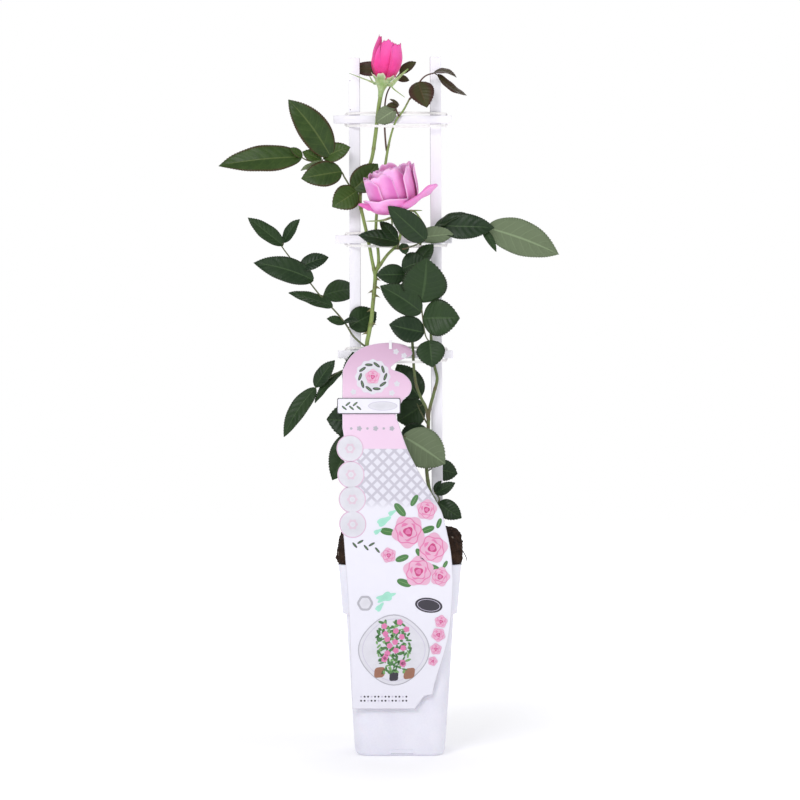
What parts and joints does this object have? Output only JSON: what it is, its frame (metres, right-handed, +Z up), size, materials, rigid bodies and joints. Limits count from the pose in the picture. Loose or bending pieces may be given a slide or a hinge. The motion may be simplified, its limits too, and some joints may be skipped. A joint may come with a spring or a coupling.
{
  "type": "potted climbing rose on a trellis",
  "caption": "Climbing rose with an open pink bloom and a bud, tied to a white lath trellis in a tall white nursery pot with a hanging printed card.",
  "frame": {"origin": "centre of the pot's flat underside", "axes": "+Z up the trellis; the printed card hangs on the -Y side, which is the front; +X is to the right seen from the front"},
  "size_m": [0.3371, 0.128, 0.7122],
  "materials": {
    "pot_plastic": "satin white moulded plastic",
    "peat": "damp dark peat with pale grains",
    "lath": "white painted lath",
    "elastic": "white flat elastic",
    "printed_card": "printed and laminated card",
    "card_plastic": "white plastic",
    "cane": "green living cane",
    "leaf": "semi-gloss dark green leaf",
    "young_leaf": "semi-gloss maroon young leaf",
    "calyx": "matt pale green",
    "pink_petal": "soft pale pink petal",
    "deep_pink_petal": "soft deep pink petal"
  },
  "bodies": {
    "root": {"pot": "pot_plastic", "soil": "peat", "stake_left": "lath", "stake_right": "lath", "crossbar_top": "lath", "crossbar_middle": "lath", "crossbar_low": "lath", "tie_top": "elastic", "tie_middle": "elastic", "tie_low": "elastic", "tag": "printed_card", "tag_band": "card_plastic", "tag_tie": "card_plastic", "cane_left": "cane", "cane_right": "cane", "leaf_top_right": "young_leaf", "leaf_top_young": "young_leaf", "leaf_behind_bud": "young_leaf", "leaf_upper_left": "leaf", "leaf_mid_left": "leaf", "leaf_under_bloom": "leaf", "leaf_right": "leaf", "leaf_centre_upper": "leaf", "leaf_centre_hanging": "leaf", "leaf_lower_left": "leaf", "leaf_tag_left": "leaf", "leaf_back_upper": "leaf", "leaf_back_lower": "leaf", "leaf_silver": "leaf", "leaf_low_small": "leaf", "leaf_low_pale": "leaf", "leaf_low_right": "leaf", "bloom_petals": "pink_petal", "bloom_calyx": "calyx", "bud_petals": "deep_pink_petal", "bud_calyx": "calyx"}
  },
  "joints": []
}
